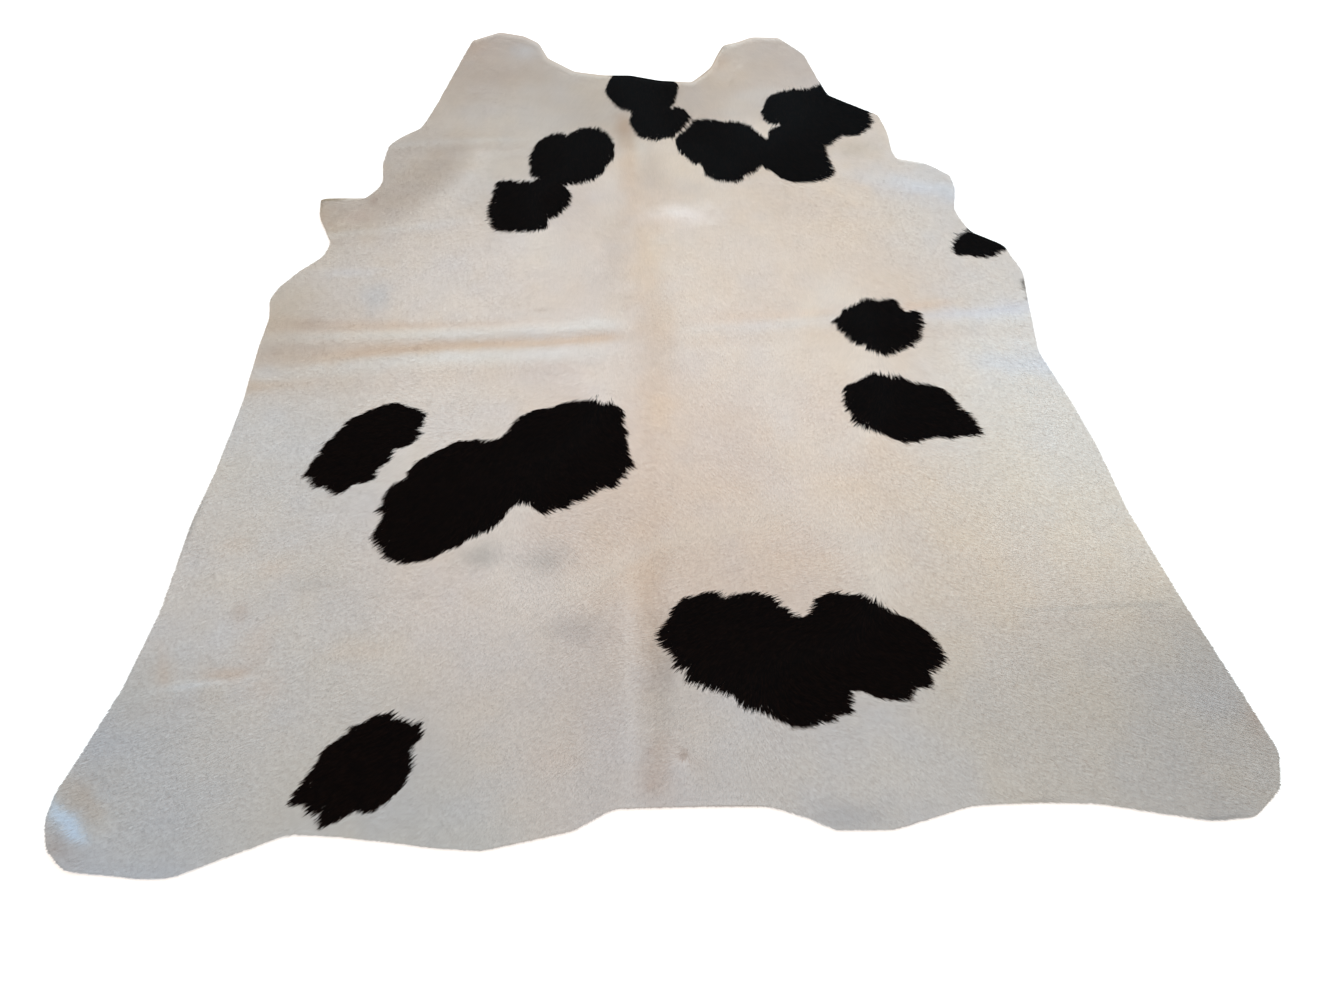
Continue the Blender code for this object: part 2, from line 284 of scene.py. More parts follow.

# Lines along the creases, folds and rims where the coat is painted darker or paler: mostly painted
# shade, tan or grey, on slopes that face away from the window, and painted highlight, pale or bluish,
# on slopes that face it; along the spine the tan is partly the hair's own colour. How much red, green
# and blue change there, then a row for each point: across, along, half width and strength.
STREAKS = {
    "spine, tan over the neck": ((-4, -10, -16), (
        (-38, 700, 10, 0.3), (-38, 600, 14, 0.8), (-42, 450, 18, 0.5), (-36, 370, 18, 0.2),
    )),
    # painted highlight on the flank of the spine's ridge that faces the window
    "spine, painted highlight beside the neck": ((3, 6, 7), (
        (-12, 630, 10, 0), (-12, 600, 12, 0.7), (-6, 550, 12, 0),
    )),
    "shade right of the neck": ((-11, -12, -12), (
        (8, 600, 20, 0.3), (10, 540, 24, 1), (14, 460, 26, 0.9), (20, 390, 26, 0),
    )),
    "spine, tan": ((-2, -7, -13), (
        (-20, 480, 16, 0.3), (-16, 300, 26, 1.1), (-10, 160, 28, 0.9), (2, 60, 28, 1), (8, 0, 28, 1.1),
        (4, -150, 28, 0.9), (4, -300, 28, 0.3), (-10, -450, 30, 0.1), (-24, -600, 24, 0.7),
        (-22, -860, 14, 0.2), (-18, -930, 13, 0.4), (-16, -980, 12, 0.3),
    )),
    "shade left of the spine": ((-7, -8, -9), (
        (-60, 400, 18, 0), (-74, 320, 20, 0.8), (-80, 240, 22, 0.9), (-84, 150, 22, 0.8),
        (-84, 40, 22, 0),
    )),
    "shade on the back": ((-6, -5, -3), (
        (0, 160, 40, 0), (4, 80, 50, 0.6), (6, -60, 50, 1), (4, -140, 40, 0),
    )),
    "grey beside the rump": ((-9, -9, -9), (
        (6, -640, 10, 0), (-8, -720, 10, 0.8), (-12, -800, 12, 1), (-10, -880, 12, 0.8),
        (-6, -950, 10, 0),
    )),
    "pale beside the tail": ((5, 6, 7), (
        (-60, -560, 12, 0), (-64, -660, 12, 1), (-66, -900, 12, 1), (-66, -1000, 10, 0.3),
    )),
    # The middle fold: painted shade on the slopes that face the near side, painted highlight on the
    # slopes that face the window.
    "middle fold, painted shade in the groove": ((-8, -18, -28), (
        (-860, -56, 24, 0.2), (-740, -62, 16, 0.4), (-660, -58, 13, 0.6), (-600, -50, 12, 0.8),
        (-490, -41, 10, 1), (-380, -36, 9, 1.1), (-220, -35, 8, 1.1), (-100, -27, 8, 0.9),
        (-50, -22, 7, 0),
    )),
    "middle fold, painted shade beyond it": ((-3, -9, -14), (
        (-860, 40, 26, 0.5), (-740, 34, 18, 0.8), (-560, 26, 10, 0.9), (-400, 23, 8, 0.7),
        (-250, 26, 8, 0.3), (-180, 28, 8, 0),
    )),
    "middle fold, painted highlight on the far side": ((1, 5, 8), (
        (-760, 4, 12, 0.5), (-600, -2, 12, 0.8), (-400, -8, 11, 0.9), (-250, -8, 12, 0.9),
        (-180, 0, 14, 1), (-120, 12, 15, 1.2), (-80, 12, 15, 0.7), (-40, 8, 14, 0),
    )),
    "middle fold, painted highlight on the near crest": ((1, 6, 10), (
        (-860, -96, 14, 0.1), (-780, -92, 16, 0.5), (-600, -80, 18, 0.7), (-400, -66, 16, 0.9),
        (-200, -68, 18, 0.8), (-100, -66, 16, 0.3), (-50, -66, 10, 0),
    )),
    "left rim below the fold, tan": ((-4, -12, -20), (
        (-856, -130, 16, 1), (-800, -132, 12, 0.8), (-720, -128, 10, 0.3), (-620, -120, 10, 0),
    )),
    # The middle fold on the right: painted shade, and bluish painted window light on the slopes that
    # face the window.
    "right of the middle, painted shade": ((1, -5, -10), (
        (60, 24, 14, 0), (160, 22, 14, 0.6), (280, 26, 12, 0.5), (380, 32, 10, 0.3),
    )),
    "right belly, painted shade": ((1, -6, -12), ((550, 38, 10, 0.7), (620, 46, 12, 0.6), (680, 52, 12, 0))),
    "right of the middle, painted window light": ((-3, 1, 6), (
        (40, -8, 12, 0.2), (200, -6, 12, 0.6), (320, 2, 12, 0.8), (390, 8, 12, 0.6),
    )),
    "right belly, painted window light": ((-4, 0, 8), (
        (550, 8, 12, 0.6), (640, 14, 14, 1), (760, 20, 16, 1), (820, 24, 16, 0.8),
    )),
    "right flank, painted window light": ((-6, -1, 7), (
        (600, -110, 20, 0), (680, -125, 22, 0.8), (780, -140, 26, 1), (840, -150, 26, 1),
    )),
    # The left neck and shoulder: painted highlight on the bends, painted shade in the valley.
    "left neck crease, painted highlight": ((1, 4, 7), (
        (-625, 630, 8, 0.4), (-530, 634, 7, 0.5), (-440, 640, 7, 0.6), (-350, 640, 6, 0.5),
        (-270, 636, 6, 0),
    )),
    "left neck crease, painted shade": ((-2, -4, -6), (
        (-600, 658, 14, 0.4), (-480, 664, 16, 0.5), (-360, 662, 14, 0.5), (-270, 658, 10, 0),
    )),
    "left shoulder, painted highlight on the bend": ((5, 6, 7), (
        (-596, 530, 8, 0), (-590, 545, 8, 0.7), (-557, 598, 8, 0.7), (-519, 627, 8, 0.2),
    )),
    "left shoulder, painted shade in the valley": ((-11, -14, -16), (
        (-450, 610, 30, 0.6), (-490, 550, 48, 1), (-530, 480, 50, 0.9), (-590, 410, 44, 0.6),
        (-640, 370, 30, 0.2),
    )),
    "left shoulder, painted highlight beside the valley": ((10, 11, 12), (
        (-390, 590, 26, 0.7), (-420, 500, 28, 1), (-470, 410, 34, 1), (-520, 370, 30, 0.3),
    )),
    # painted highlight along the creases of the left foreleg and right shoulder, with painted shade
    # below the foreleg's
    "left foreleg crease, painted highlight": ((2, 5, 8), (
        (-730, 310, 10, 0.4), (-640, 320, 10, 0.5), (-540, 326, 12, 0.6), (-480, 334, 14, 0.6),
        (-430, 348, 14, 0.4), (-380, 360, 10, 0),
    )),
    "left foreleg crease, shade": ((-6, -8, -10), (
        (-735, 320, 6, 0.8), (-690, 331, 6, 0.7), (-620, 337, 6, 0.3), (-560, 342, 6, 0),
    )),
    "right shoulder crease, painted window light": ((-2, 3, 10), (
        (450, 480, 20, 0.4), (540, 450, 26, 0.8), (640, 415, 30, 1), (720, 392, 30, 0.9),
    )),
    # painted highlight and painted shade along the left haunch crease
    "left haunch crease, painted highlight": ((7, 10, 13), (
        (-870, -795, 5, 0), (-845, -786, 5, 0.6), (-800, -782, 5, 0.9), (-750, -776, 5, 1),
        (-700, -774, 4, 0.5), (-660, -774, 4, 0),
    )),
    "left haunch crease, painted shade": ((-2, -6, -9), (
        (-790, -745, 10, 0.2), (-765, -760, 10, 0.8), (-725, -764, 8, 1), (-700, -750, 10, 0.6),
        (-690, -725, 14, 0.2),
    )),
    "left haunch, tan vein": ((-1, -6, -9), (
        (-865, -700, 6, 0.3), (-852, -740, 6, 0.6), (-838, -775, 6, 0.5),
    )),
    # painted shadow in the narrow valley of the right haunch crease
    "right haunch, painted shadow line": ((-11, -10, -9), (
        (560, -700, 3, 0), (600, -698, 3, 0.5), (728, -698, 3, 1), (868, -694, 4, 0.9),
    )),
    # painted sheen of the window along the bend where the corner curls up, and painted shade beyond it
    "left hind corner, painted sheen on the bend": ((8, 22, 36), (
        (-970, -973, 5, 0.4), (-950, -992, 6, 1), (-932, -1004, 8, 1), (-917, -1024, 7, 1),
        (-903, -1033, 5, 0.6), (-888, -1042, 4, 0),
    )),
    "left hind corner, tan shade": ((-4, -12, -20), (
        (-955, -945, 16, 0.8), (-925, -965, 18, 1.1), (-898, -990, 14, 0.8), (-885, -1012, 10, 0.2),
    )),
    "left hind corner, tan tip": ((-6, -12, -16), (
        (-966, -1020, 10, 0.6), (-940, -1046, 12, 1), (-915, -1058, 10, 0.3),
    )),
    "right rim, dark": ((-120, -124, -126), (
        (809, 116, 2, 0), (807.6, 102, 2.8, 1), (806, 82, 2.8, 0.9), (804.5, 66, 2, 0.3),
        (803.6, 56, 2, 0.3), (803, 49, 3, 0.9), (802.4, 41, 2, 0),
    )),
    "left rim, grey": ((-50, -48, -46), (
        (-850.5, -390, 2, 0.2), (-857, -425, 2, 0.8), (-864, -465, 2, 0.8), (-869, -520, 2, 0.3),
        (-872, -560, 2, 0),
    )),
    "left foreleg rim, olive": ((-45, -50, -60), (
        (-752, 380, 2, 0.3), (-753, 423, 2, 0.9), (-730, 426, 2, 0.9), (-700, 429, 2, 0.4),
        (-660, 430, 2, 0.2),
    )),
    # painted shadow along the raised edge of the right neck lobe
    "right neck lobe rim, painted shadow": ((-60, -62, -62), (
        (134, 856, 2.2, 0.5), (160, 886, 2.5, 0.9), (181, 911, 2, 0.3), (200, 955, 2, 0.6),
        (214, 988, 3, 1), (222, 998, 3, 0.8), (234, 1005, 2, 0.2),
    )),
    "tail edge, grey": ((-34, -34, -32), (
        (530, -1031, 2, 0), (550, -1031, 2, 0.8), (580, -1031, 2, 0.6), (600, -1032, 2, 0),
    )),
    "right hind leg rim, grey": ((-30, -30, -28), (
        (800, -1066, 2, 0), (822, -1069, 2, 0.8), (860, -1068, 2, 0.6), (890, -1067, 2, 0),
    )),
}
STREAK_REACH = 3.2       # half widths from its line at which a streak is gone

# Small marks, stains and spots of painted shade and highlight: across, along, half width across and
# along, strength, red, green, blue
STAINS_AND_PAINTED_LIGHT = {
    "whorl": (18, -936, 4, 5, 0.45, 124, 100, 86),
    "beside the whorl": (-30, -975, 20, 30, 0.3, 172, 152, 140),
    "spine, dark spot": (0, -785, 10, 22, 0.35, 150, 140, 132),
    "tail dot": (-36, -982, 5, 5, 0.2, 150, 124, 110),
    "tail dot, upper": (-32, -926, 5, 5, 0.2, 160, 138, 128),
    "left haunch, brown mark": (-740, -650, 10, 14, 0.22, 164, 142, 128),
    "left haunch, tan by the rim": (-845, -755, 10, 24, 0.3, 178, 160, 146),
    "left haunch, tan at the crease": (-735, -765, 28, 8, 0.35, 180, 160, 143),
    "left haunch, tan beyond the crease": (-670, -790, 22, 20, 0.3, 190, 174, 160),
    "left haunch, tan over the patch": (-520, -730, 40, 14, 0.35, 193, 177, 161),
    "left haunch, bluish": (-825, -720, 20, 24, 0.3, 184, 186, 189),
    "left flank, tan": (-700, -560, 18, 16, 0.3, 199, 183, 168),
    "left flank, tan upper": (-780, -510, 18, 14, 0.3, 197, 183, 170),
    "left foreleg, mark": (-635, 425, 6, 10, 0.5, 160, 140, 128),
    "left ribs, dash": (-240, 60, 12, 3, 0.45, 178, 161, 147),
    "left fold, dot": (-490, -40, 5, 4, 0.3, 150, 122, 102),
    "left ribs, grey": (-200, 230, 30, 30, 0.3, 196, 188, 183),
    "left ribs dot": (-434, -625, 8, 6, 0.25, 160, 150, 146),
    "under the big left patch": (-328, -548, 26, 18, 0.75, 170, 163, 157),
    "under the big left patch, inner": (-215, -562, 28, 22, 0.7, 172, 165, 159),
    "left of the rump": (-156, -702, 36, 20, 0.6, 170, 161, 155),
    "left flank smudge": (-620, -595, 24, 9, 0.45, 172, 168, 164),
    "tan beside the tail": (-190, -930, 30, 24, 0.3, 188, 171, 158),
    "nape, brown tuft": (-50, 680, 16, 34, 0.6, 172, 143, 118),
    # painted highlight on the small fold by the withers, painted shade below it
    "withers, painted highlight": (76, 350, 54, 23, 0.8, 230, 224, 220),
    "withers, painted shade": (26, 325, 34, 16, 0.4, 208, 190, 172),
    "beside the neck patch": (100, 442, 36, 18, 0.6, 196, 183, 172),
    "below the neck, tan": (6, 405, 30, 30, 0.5, 207, 190, 174),
    "right shoulder smudge": (360, 365, 50, 20, 0.25, 202, 190, 181),
    "left neck lobe, pale": (-305, 1010, 28, 24, 0.6, 188, 187, 189),
    "left neck lobe, tan": (-440, 1030, 30, 30, 0.5, 184, 163, 146),
    "left neck, tan": (-380, 905, 90, 32, 0.7, 177, 162, 149),
    "left neck rim, tan": (-510, 860, 50, 110, 0.5, 184, 169, 153),
    "left neck, grey": (-470, 840, 40, 30, 0.4, 184, 170, 155),
    "left belly, bluish": (-595, 115, 24, 32, 0.5, 184, 185, 187),
    "left belly, bluish upper": (-660, 190, 45, 10, 0.5, 203, 202, 204),
    "left shoulder, bluish": (-460, 180, 60, 40, 0.15, 198, 196, 198),
    # painted shade along the lower rim
    "tail edge, painted shade": (255, -1045, 60, 20, 0.55, 158, 158, 161),
    "right hind corner, tan": (955, -905, 15, 22, 0.45, 160, 144, 132),
    "left haunch, bluish inner": (-765, -690, 18, 20, 0.25, 190, 192, 196),
    "left haunch, tan inner": (-700, -710, 20, 30, 0.25, 194, 178, 166),
    "left belly, brown": (-720, 35, 16, 10, 0.35, 168, 150, 136),
    # painted shade by the fold
    "left belly, painted shade by the fold": (-760, -45, 50, 28, 0.35, 178, 164, 150),
    "left foreleg, reddish": (-660, 375, 22, 18, 0.3, 184, 163, 151),
    "right shoulder, tan by the patch": (500, 570, 35, 28, 0.4, 184, 172, 154),
}

# The black patches, each a closed outline of points: across, along
PATCHES = {
    "nape": (
        (-74, 940), (-77, 899), (-88, 862), (-94, 832), (-92, 805), (-79, 779), (-68, 758), (-52, 748),
        (-36, 739), (10, 730), (60, 740), (66, 749), (74, 767), (83, 794), (88, 825), (92, 858),
        (94, 900), (20, 940),
    ),
    "below the nape": (
        (-31, 723), (-36, 705), (-33, 683), (-24, 657), (-9, 634), (10, 625), (31, 621), (52, 627),
        (71, 633), (83, 649), (98, 674), (107, 692), (115, 706), (112, 717), (103, 735), (86, 752),
        (66, 749), (40, 765), (-10, 765), (-34, 742),
    ),
    "right of the neck": (
        (121, 697), (138, 702), (170, 698), (191, 689), (224, 690), (244, 684), (263, 667), (277, 643),
        (289, 633), (297, 617), (330, 590), (330, 530), (276, 511), (257, 497), (246, 484), (230, 477),
        (221, 462), (200, 458), (174, 463), (155, 474), (140, 485), (136, 506), (129, 523), (112, 534),
        (94, 556), (80, 577), (73, 598), (73, 615), (80, 641), (97, 657), (110, 680),
    ),
    "right shoulder, inner": (
        (300, 622), (303, 640), (312, 652), (327, 662), (338, 670), (380, 700), (440, 680), (458, 600),
        (438, 583), (435, 559), (439, 526), (442, 502), (439, 477), (423, 462), (400, 453), (369, 450),
        (343, 451), (318, 465), (305, 479), (293, 496), (276, 511), (250, 560), (270, 600),
    ),
    "right shoulder, outer": (
        (341, 666), (320, 672), (302, 686), (294, 713), (300, 735), (307, 758), (317, 786), (336, 799),
        (353, 807), (381, 814), (397, 812), (419, 812), (440, 824), (470, 840), (520, 800), (575, 745),
        (562, 710), (560, 695), (559, 664), (546, 642), (531, 628), (511, 620), (487, 618), (470, 609),
        (440, 590), (380, 610), (360, 650),
    ),
    "left shoulder, upper": (
        (-229, 657), (-215, 656), (-199, 655), (-188, 650), (-180, 660), (-160, 673), (-143, 679),
        (-126, 679), (-110, 672), (-101, 661), (-90, 654), (-82, 638), (-77, 615), (-77, 588),
        (-79, 558), (-91, 537), (-98, 525), (-103, 508), (-113, 492), (-129, 480), (-146, 475),
        (-162, 467), (-180, 467), (-199, 462), (-215, 435), (-250, 450), (-257, 486), (-265, 493),
        (-274, 503), (-277, 517), (-274, 533), (-279, 554), (-278, 575), (-273, 592), (-267, 610),
        (-257, 632), (-244, 644),
    ),
    "left shoulder, lower": (
        (-353, 477), (-345, 485), (-318, 485), (-305, 481), (-286, 482), (-267, 482), (-240, 510),
        (-205, 500), (-198, 462), (-193, 452), (-184, 440), (-181, 417), (-187, 392), (-198, 371),
        (-213, 356), (-226, 345), (-231, 333), (-236, 315), (-249, 307), (-270, 306), (-300, 305),
        (-325, 308), (-345, 310), (-355, 324), (-362, 337), (-366, 357), (-367, 383), (-365, 403),
        (-361, 426), (-359, 443), (-357, 462),
    ),
    "right foreleg": (
        (730, 300), (720, 271), (699, 262), (691, 250), (684, 238), (678, 231), (674, 215), (675, 201),
        (679, 192), (690, 191), (705, 189), (719, 183), (740, 181), (756, 185), (771, 189), (780, 199),
        (800, 203), (830, 225), (800, 260),
    ),
    "right ribs, upper": (
        (383, 4), (402, 20), (406, 34), (421, 42), (437, 50), (448, 62), (467, 62), (482, 58),
        (500, 61), (515, 60), (524, 53), (527, 38), (533, 26), (552, 24), (564, 20), (569, 7),
        (566, -12), (560, -34), (553, -56), (542, -63), (534, -75), (518, -84), (496, -91), (480, -97),
        (466, -96), (455, -88), (442, -77), (423, -68), (410, -58), (400, -41), (390, -25), (386, -12),
    ),
    "right ribs, lower": (
        (376, -185), (388, -174), (409, -165), (425, -155), (441, -146), (455, -144), (474, -153),
        (497, -158), (515, -172), (540, -178), (562, -185), (577, -197), (586, -212), (596, -229),
        (604, -248), (616, -259), (621, -277), (627, -295), (629, -306), (619, -314), (599, -315),
        (585, -316), (565, -320), (543, -314), (520, -319), (503, -323), (475, -327), (462, -320),
        (444, -308), (426, -297), (410, -291), (395, -280), (386, -264), (384, -248), (376, -240),
        (376, -224), (376, -205),
    ),
    "left flank": (
        (-530, -188), (-515, -187), (-500, -194), (-485, -201), (-466, -206), (-457, -217),
        (-454, -228), (-456, -241), (-461, -256), (-462, -272), (-472, -286), (-482, -294),
        (-495, -300), (-507, -302), (-512, -314), (-516, -332), (-528, -340), (-535, -350),
        (-536, -364), (-543, -372), (-553, -379), (-573, -383), (-584, -390), (-596, -399),
        (-611, -403), (-623, -394), (-629, -385), (-644, -386), (-655, -380), (-664, -368),
        (-675, -361), (-672, -348), (-667, -332), (-660, -319), (-653, -305), (-649, -290),
        (-643, -276), (-629, -262), (-622, -252), (-616, -238), (-606, -224), (-593, -215),
        (-576, -208), (-559, -198), (-544, -193),
    ),
    "left loin": (
        (-149, -193), (-124, -190), (-111, -203), (-95, -202), (-82, -208), (-70, -225), (-69, -252),
        (-66, -278), (-63, -308), (-61, -334), (-53, -360), (-62, -364), (-68, -378), (-81, -391),
        (-89, -409), (-111, -409), (-127, -418), (-142, -430), (-168, -443), (-180, -453), (-202, -455),
        (-220, -464), (-236, -454), (-247, -442), (-262, -436), (-274, -441), (-285, -455),
        (-295, -472), (-309, -487), (-332, -500), (-354, -512), (-376, -529), (-398, -540),
        (-420, -552), (-438, -556), (-473, -558), (-495, -551), (-506, -538), (-514, -524),
        (-528, -509), (-531, -498), (-523, -480), (-517, -462), (-516, -453), (-531, -446),
        (-520, -430), (-518, -414), (-513, -397), (-500, -383), (-483, -373), (-478, -358),
        (-470, -340), (-454, -327), (-434, -314), (-413, -301), (-395, -291), (-372, -286),
        (-350, -283), (-332, -288), (-312, -284), (-297, -271), (-285, -253), (-275, -236),
        (-257, -223), (-232, -214), (-208, -210), (-187, -201), (-166, -195),
    ),
    "right rump": (
        (-10, -708), (5, -692), (12, -676), (22, -663), (32, -648), (50, -647), (70, -640), (88, -639),
        (100, -645), (110, -652), (123, -645), (148, -644), (168, -645), (189, -653), (205, -667),
        (216, -680), (226, -691), (241, -695), (252, -687), (259, -673), (264, -664), (279, -655),
        (296, -650), (312, -652), (333, -654), (357, -662), (375, -675), (389, -688), (403, -699),
        (425, -712), (442, -729), (451, -744), (458, -757), (466, -776), (460, -791), (445, -801),
        (437, -812), (434, -832), (419, -836), (403, -841), (396, -855), (366, -855), (343, -851),
        (322, -841), (308, -835), (300, -842), (295, -860), (295, -873), (278, -877), (262, -884),
        (246, -890), (218, -895), (196, -893), (174, -883), (156, -869), (129, -861), (113, -849),
        (104, -838), (81, -827), (58, -820), (45, -813), (30, -806), (27, -787), (13, -784), (6, -764),
        (-1, -751), (-13, -739), (-16, -723),
    ),
    "left haunch": (
        (-466, -844), (-456, -843), (-448, -852), (-432, -856), (-420, -861), (-410, -863),
        (-401, -878), (-402, -889), (-412, -899), (-418, -908), (-414, -921), (-414, -937),
        (-419, -952), (-421, -964), (-430, -974), (-437, -982), (-446, -992), (-459, -999),
        (-470, -1007), (-483, -1007), (-495, -1006), (-507, -1011), (-516, -1017), (-525, -1024),
        (-538, -1027), (-550, -1022), (-554, -1009), (-567, -1004), (-576, -995), (-583, -990),
        (-590, -995), (-598, -994), (-600, -986), (-597, -976), (-589, -960), (-580, -941),
        (-570, -929), (-565, -916), (-561, -905), (-550, -894), (-538, -885), (-526, -877),
        (-518, -865), (-505, -860), (-493, -854), (-482, -847),
    ),
}

# Which way the hair lies, with rows for the places in each part of the hide: across, along, then
# the way its tip points, across and along
LIE = {
    "left neck lobe": ((-420, 980, -0.5, -0.87),),
    "nape": ((-90, 830, -0.6, -0.8), (0, 860, 0, -1), (90, 820, 0.6, -0.8)),
    "below the nape": ((-30, 670, -0.5, -0.86), (110, 700, 0.7, -0.7)),
    "right neck lobe": ((320, 950, 0.5, -0.87),),
    "left shoulder": ((-500, 560, -0.64, -0.77),),
    "left shoulder patch": (
        (-280, 560, -0.7, -0.7), (-90, 550, 0.3, -0.95), (-360, 400, -0.85, -0.53),
        (-190, 420, 0.75, -0.66),
    ),
    "right of the neck": ((80, 580, -0.3, -0.95),),
    "right shoulder patch": ((300, 740, -0.5, -0.86), (440, 500, 0.8, -0.6), (550, 670, 0.85, -0.53)),
    "right shoulder": ((560, 500, 0.75, -0.66),),
    "left foreleg": ((-700, 360, -0.9, -0.44),),
    "right foreleg": ((720, 240, 0.6, -0.8),),
    "withers": ((-20, 420, 0.1, -1),),
    "back": ((-10, 20, 0, -1),),
    "left ribs": ((-340, 100, -0.57, -0.82),),
    "right ribs": ((240, 100, 0.4, -0.92),),
    "right ribs patch": ((400, 0, -0.75, -0.66), (550, 0, 0.92, -0.39)),
    "right ribs lower patch": (
        (390, -220, -0.8, -0.6), (500, -310, 0.8, -0.6), (600, -280, 0.9, -0.43),
    ),
    "left belly": ((-740, -60, -0.82, -0.57),),
    "right belly": ((760, -60, 0.86, -0.5),),
    "left flank patch": (
        (-470, -230, -1, -0.06), (-530, -340, -0.87, -0.49), (-650, -370, -0.76, -0.65),
    ),
    "loin": ((60, -300, 0.3, -0.95),),
    "left loin patch": (
        (-70, -280, 0.82, -0.57), (-80, -390, 0.76, -0.65), (-180, -450, 0.9, -0.43),
        (-200, -210, -0.9, -0.4), (-300, -400, -0.4, -0.92), (-500, -500, -0.72, -0.69),
        (-460, -340, -0.75, -0.66),
    ),
    "right rump patch": (
        (-10, -730, -0.98, -0.1), (50, -650, -0.85, -0.5), (40, -800, -0.4, -0.92),
        (260, -670, -0.96, -0.25), (280, -850, 0.85, -0.53), (440, -780, 0.85, -0.53),
    ),
    "left haunch": ((-600, -700, -0.72, -0.69),),
    "left haunch patch": ((-500, -930, -0.79, -0.61),),
    "right haunch": ((640, -700, 0.93, -0.36),),
    "left hind leg": ((-880, -980, -0.8, -0.6),),
    "right hind leg": ((880, -980, 0.84, -0.54),),
    "tail edge": ((-300, -980, -0.45, -0.89), (360, -980, 0.55, -0.83)),
}
LIE_REACH = 0.06         # how near a place of the table the hair follows it closely
LIE_FADE = 1.6           # how fast that place is forgotten further off
WHORL = (0.017, -0.939)  # the hair turns outwards all round this place
WHORL_REACH = 0.075
WHORL_PULL = 0.9

# The pieces of the coat, from the neck to the tail: name and lowest place along
COATS = (
    ("coat_neck", 0.400), ("coat_shoulders", 0.040), ("coat_back", -0.300),
    ("coat_loin", -0.660), ("coat_rump", -2.000),
)
BAKE_MARGIN = 0.01       # of the map OFBake, in which each hair sits by its root
BAKE_CELL = ((-0.3, -0.3), (0.3, -0.3), (0.0, 0.3))  # a hair's corners there, in hair spacings


def in_metres(rows, lengths):
    """Rows of a table, with their first numbers, lengths in millimetres, turned to metres."""
    rows = np.array(list(rows), float)
    rows[:, :lengths] /= 1000.0
    return rows


def linear(colour):
    """Linear values, from 0 to 1, of colours given in the usual 0 to 255."""
    value = np.asarray(colour, float) / 255.0
    return np.where(value <= 0.04045, value / 12.92, ((value + 0.055) / 1.055) ** 2.4)


def smooth(share):
    share = np.clip(share, 0.0, 1.0)
    return share * share * (3.0 - 2.0 * share)


def lattice(seed, channels):
    return np.random.default_rng(seed).uniform(-1.0, 1.0, (LATTICE, LATTICE, channels))


def waves(points, rows):
    """Smooth random values, the sum of waves that change over about the length of each row."""
    total = 0.0
    for strength, length, seed in rows:
        values = lattice(seed, 1)[..., 0]
        place = points / length
        corner = np.floor(place).astype(int)
        share = smooth(place - corner)
        left, low = corner[:, 0] % LATTICE, corner[:, 1] % LATTICE
        right, high = (left + 1) % LATTICE, (low + 1) % LATTICE
        near = values[left, low] * (1 - share[:, 0]) + values[right, low] * share[:, 0]
        far = values[left, high] * (1 - share[:, 0]) + values[right, high] * share[:, 0]
        total = total + strength * (near * (1 - share[:, 1]) + far * share[:, 1])
    return total


def distance(points, across, along):
    return np.hypot(points[:, 0] - across, points[:, 1] - along)


def between(points, low, high):
    """Which points are in the box from low to high."""
    return np.flatnonzero(np.all((points > low) & (points < high), axis=1))


def beside(points, start, end, reach):
    """The points within reach of a straight piece: which, how far off, how far along it."""
    start, end = np.asarray(start, float), np.asarray(end, float)
    found = between(points, np.minimum(start, end) - reach, np.maximum(start, end) + reach)
    run = end - start
    share = np.clip((points[found] - start) @ run / max(run @ run, TINY), 0.0, 1.0)
    offset = points[found] - (start + share[:, None] * run)
    return found, offset, share


def beside_line(points, line, half, reach):
    """The points beside each piece of a line: which, how far off, and the last two numbers that
    the line's rows have there. Its half width is in column half, and reach counts in those."""
    for first, last in zip(line, line[1:]):
        furthest = reach * max(first[half], last[half])
        found, offset, share = beside(points, first[:2], last[:2], furthest)
        values = first[2:] + (last[2:] - first[2:]) * share[:, None]
        yield found, np.hypot(*offset.T), *values.T


def lift(points):
    """Height of the flesh side over the floor."""
    height = np.zeros(len(points))
    for sections in RIDGES.values():
        line = in_metres(sections, 4)
        for found, away, crest, half in beside_line(points, line, 3, 1.0):
            height[found] = np.maximum(height[found], crest * smooth(1.0 - away / half))
    for across, along, reach, crest in in_metres(CURLS.values(), 4):
        away = distance(points, across, along)
        height = np.maximum(height, crest * smooth(1.0 - away / reach))
    return height


class Ground:
    """A table of the flesh side's height and slope, read between its points."""

    def __init__(self, low, high):
        self.low = np.asarray(low[:2]) - GRID_MARGIN
        self.count = np.ceil((np.asarray(high[:2]) + GRID_MARGIN - self.low) / GRID_STEP)
        self.count = self.count.astype(int) + 1
        across, along = np.meshgrid(*(np.arange(n) for n in self.count), indexing="ij")
        places = np.stack([across.ravel(), along.ravel()], 1) * GRID_STEP + self.low
        self.height = lift(places).reshape(self.count)
        self.slope = np.stack(np.gradient(self.height, GRID_STEP), -1)

    def read(self, table, points):
        place = (points - self.low) / GRID_STEP
        corner = np.clip(np.floor(place).astype(int), 0, self.count - 2)
        share = place - corner
        i, j = corner.T
        u, v = share.T
        if table.ndim == 3:
            u, v = u[:, None], v[:, None]
        return (
            table[i, j] * (1 - u) * (1 - v) + table[i + 1, j] * u * (1 - v)
            + table[i, j + 1] * (1 - u) * v + table[i + 1, j + 1] * u * v
        )

    def skin(self, points):
        """Height of the hair side."""
        return self.read(self.height, points) + LEATHER

    def normal(self, points):
        slope = self.read(self.slope, points)
        normal = np.column_stack([-slope, np.ones(len(points))])
        return normal / np.linalg.norm(normal, axis=1)[:, None]


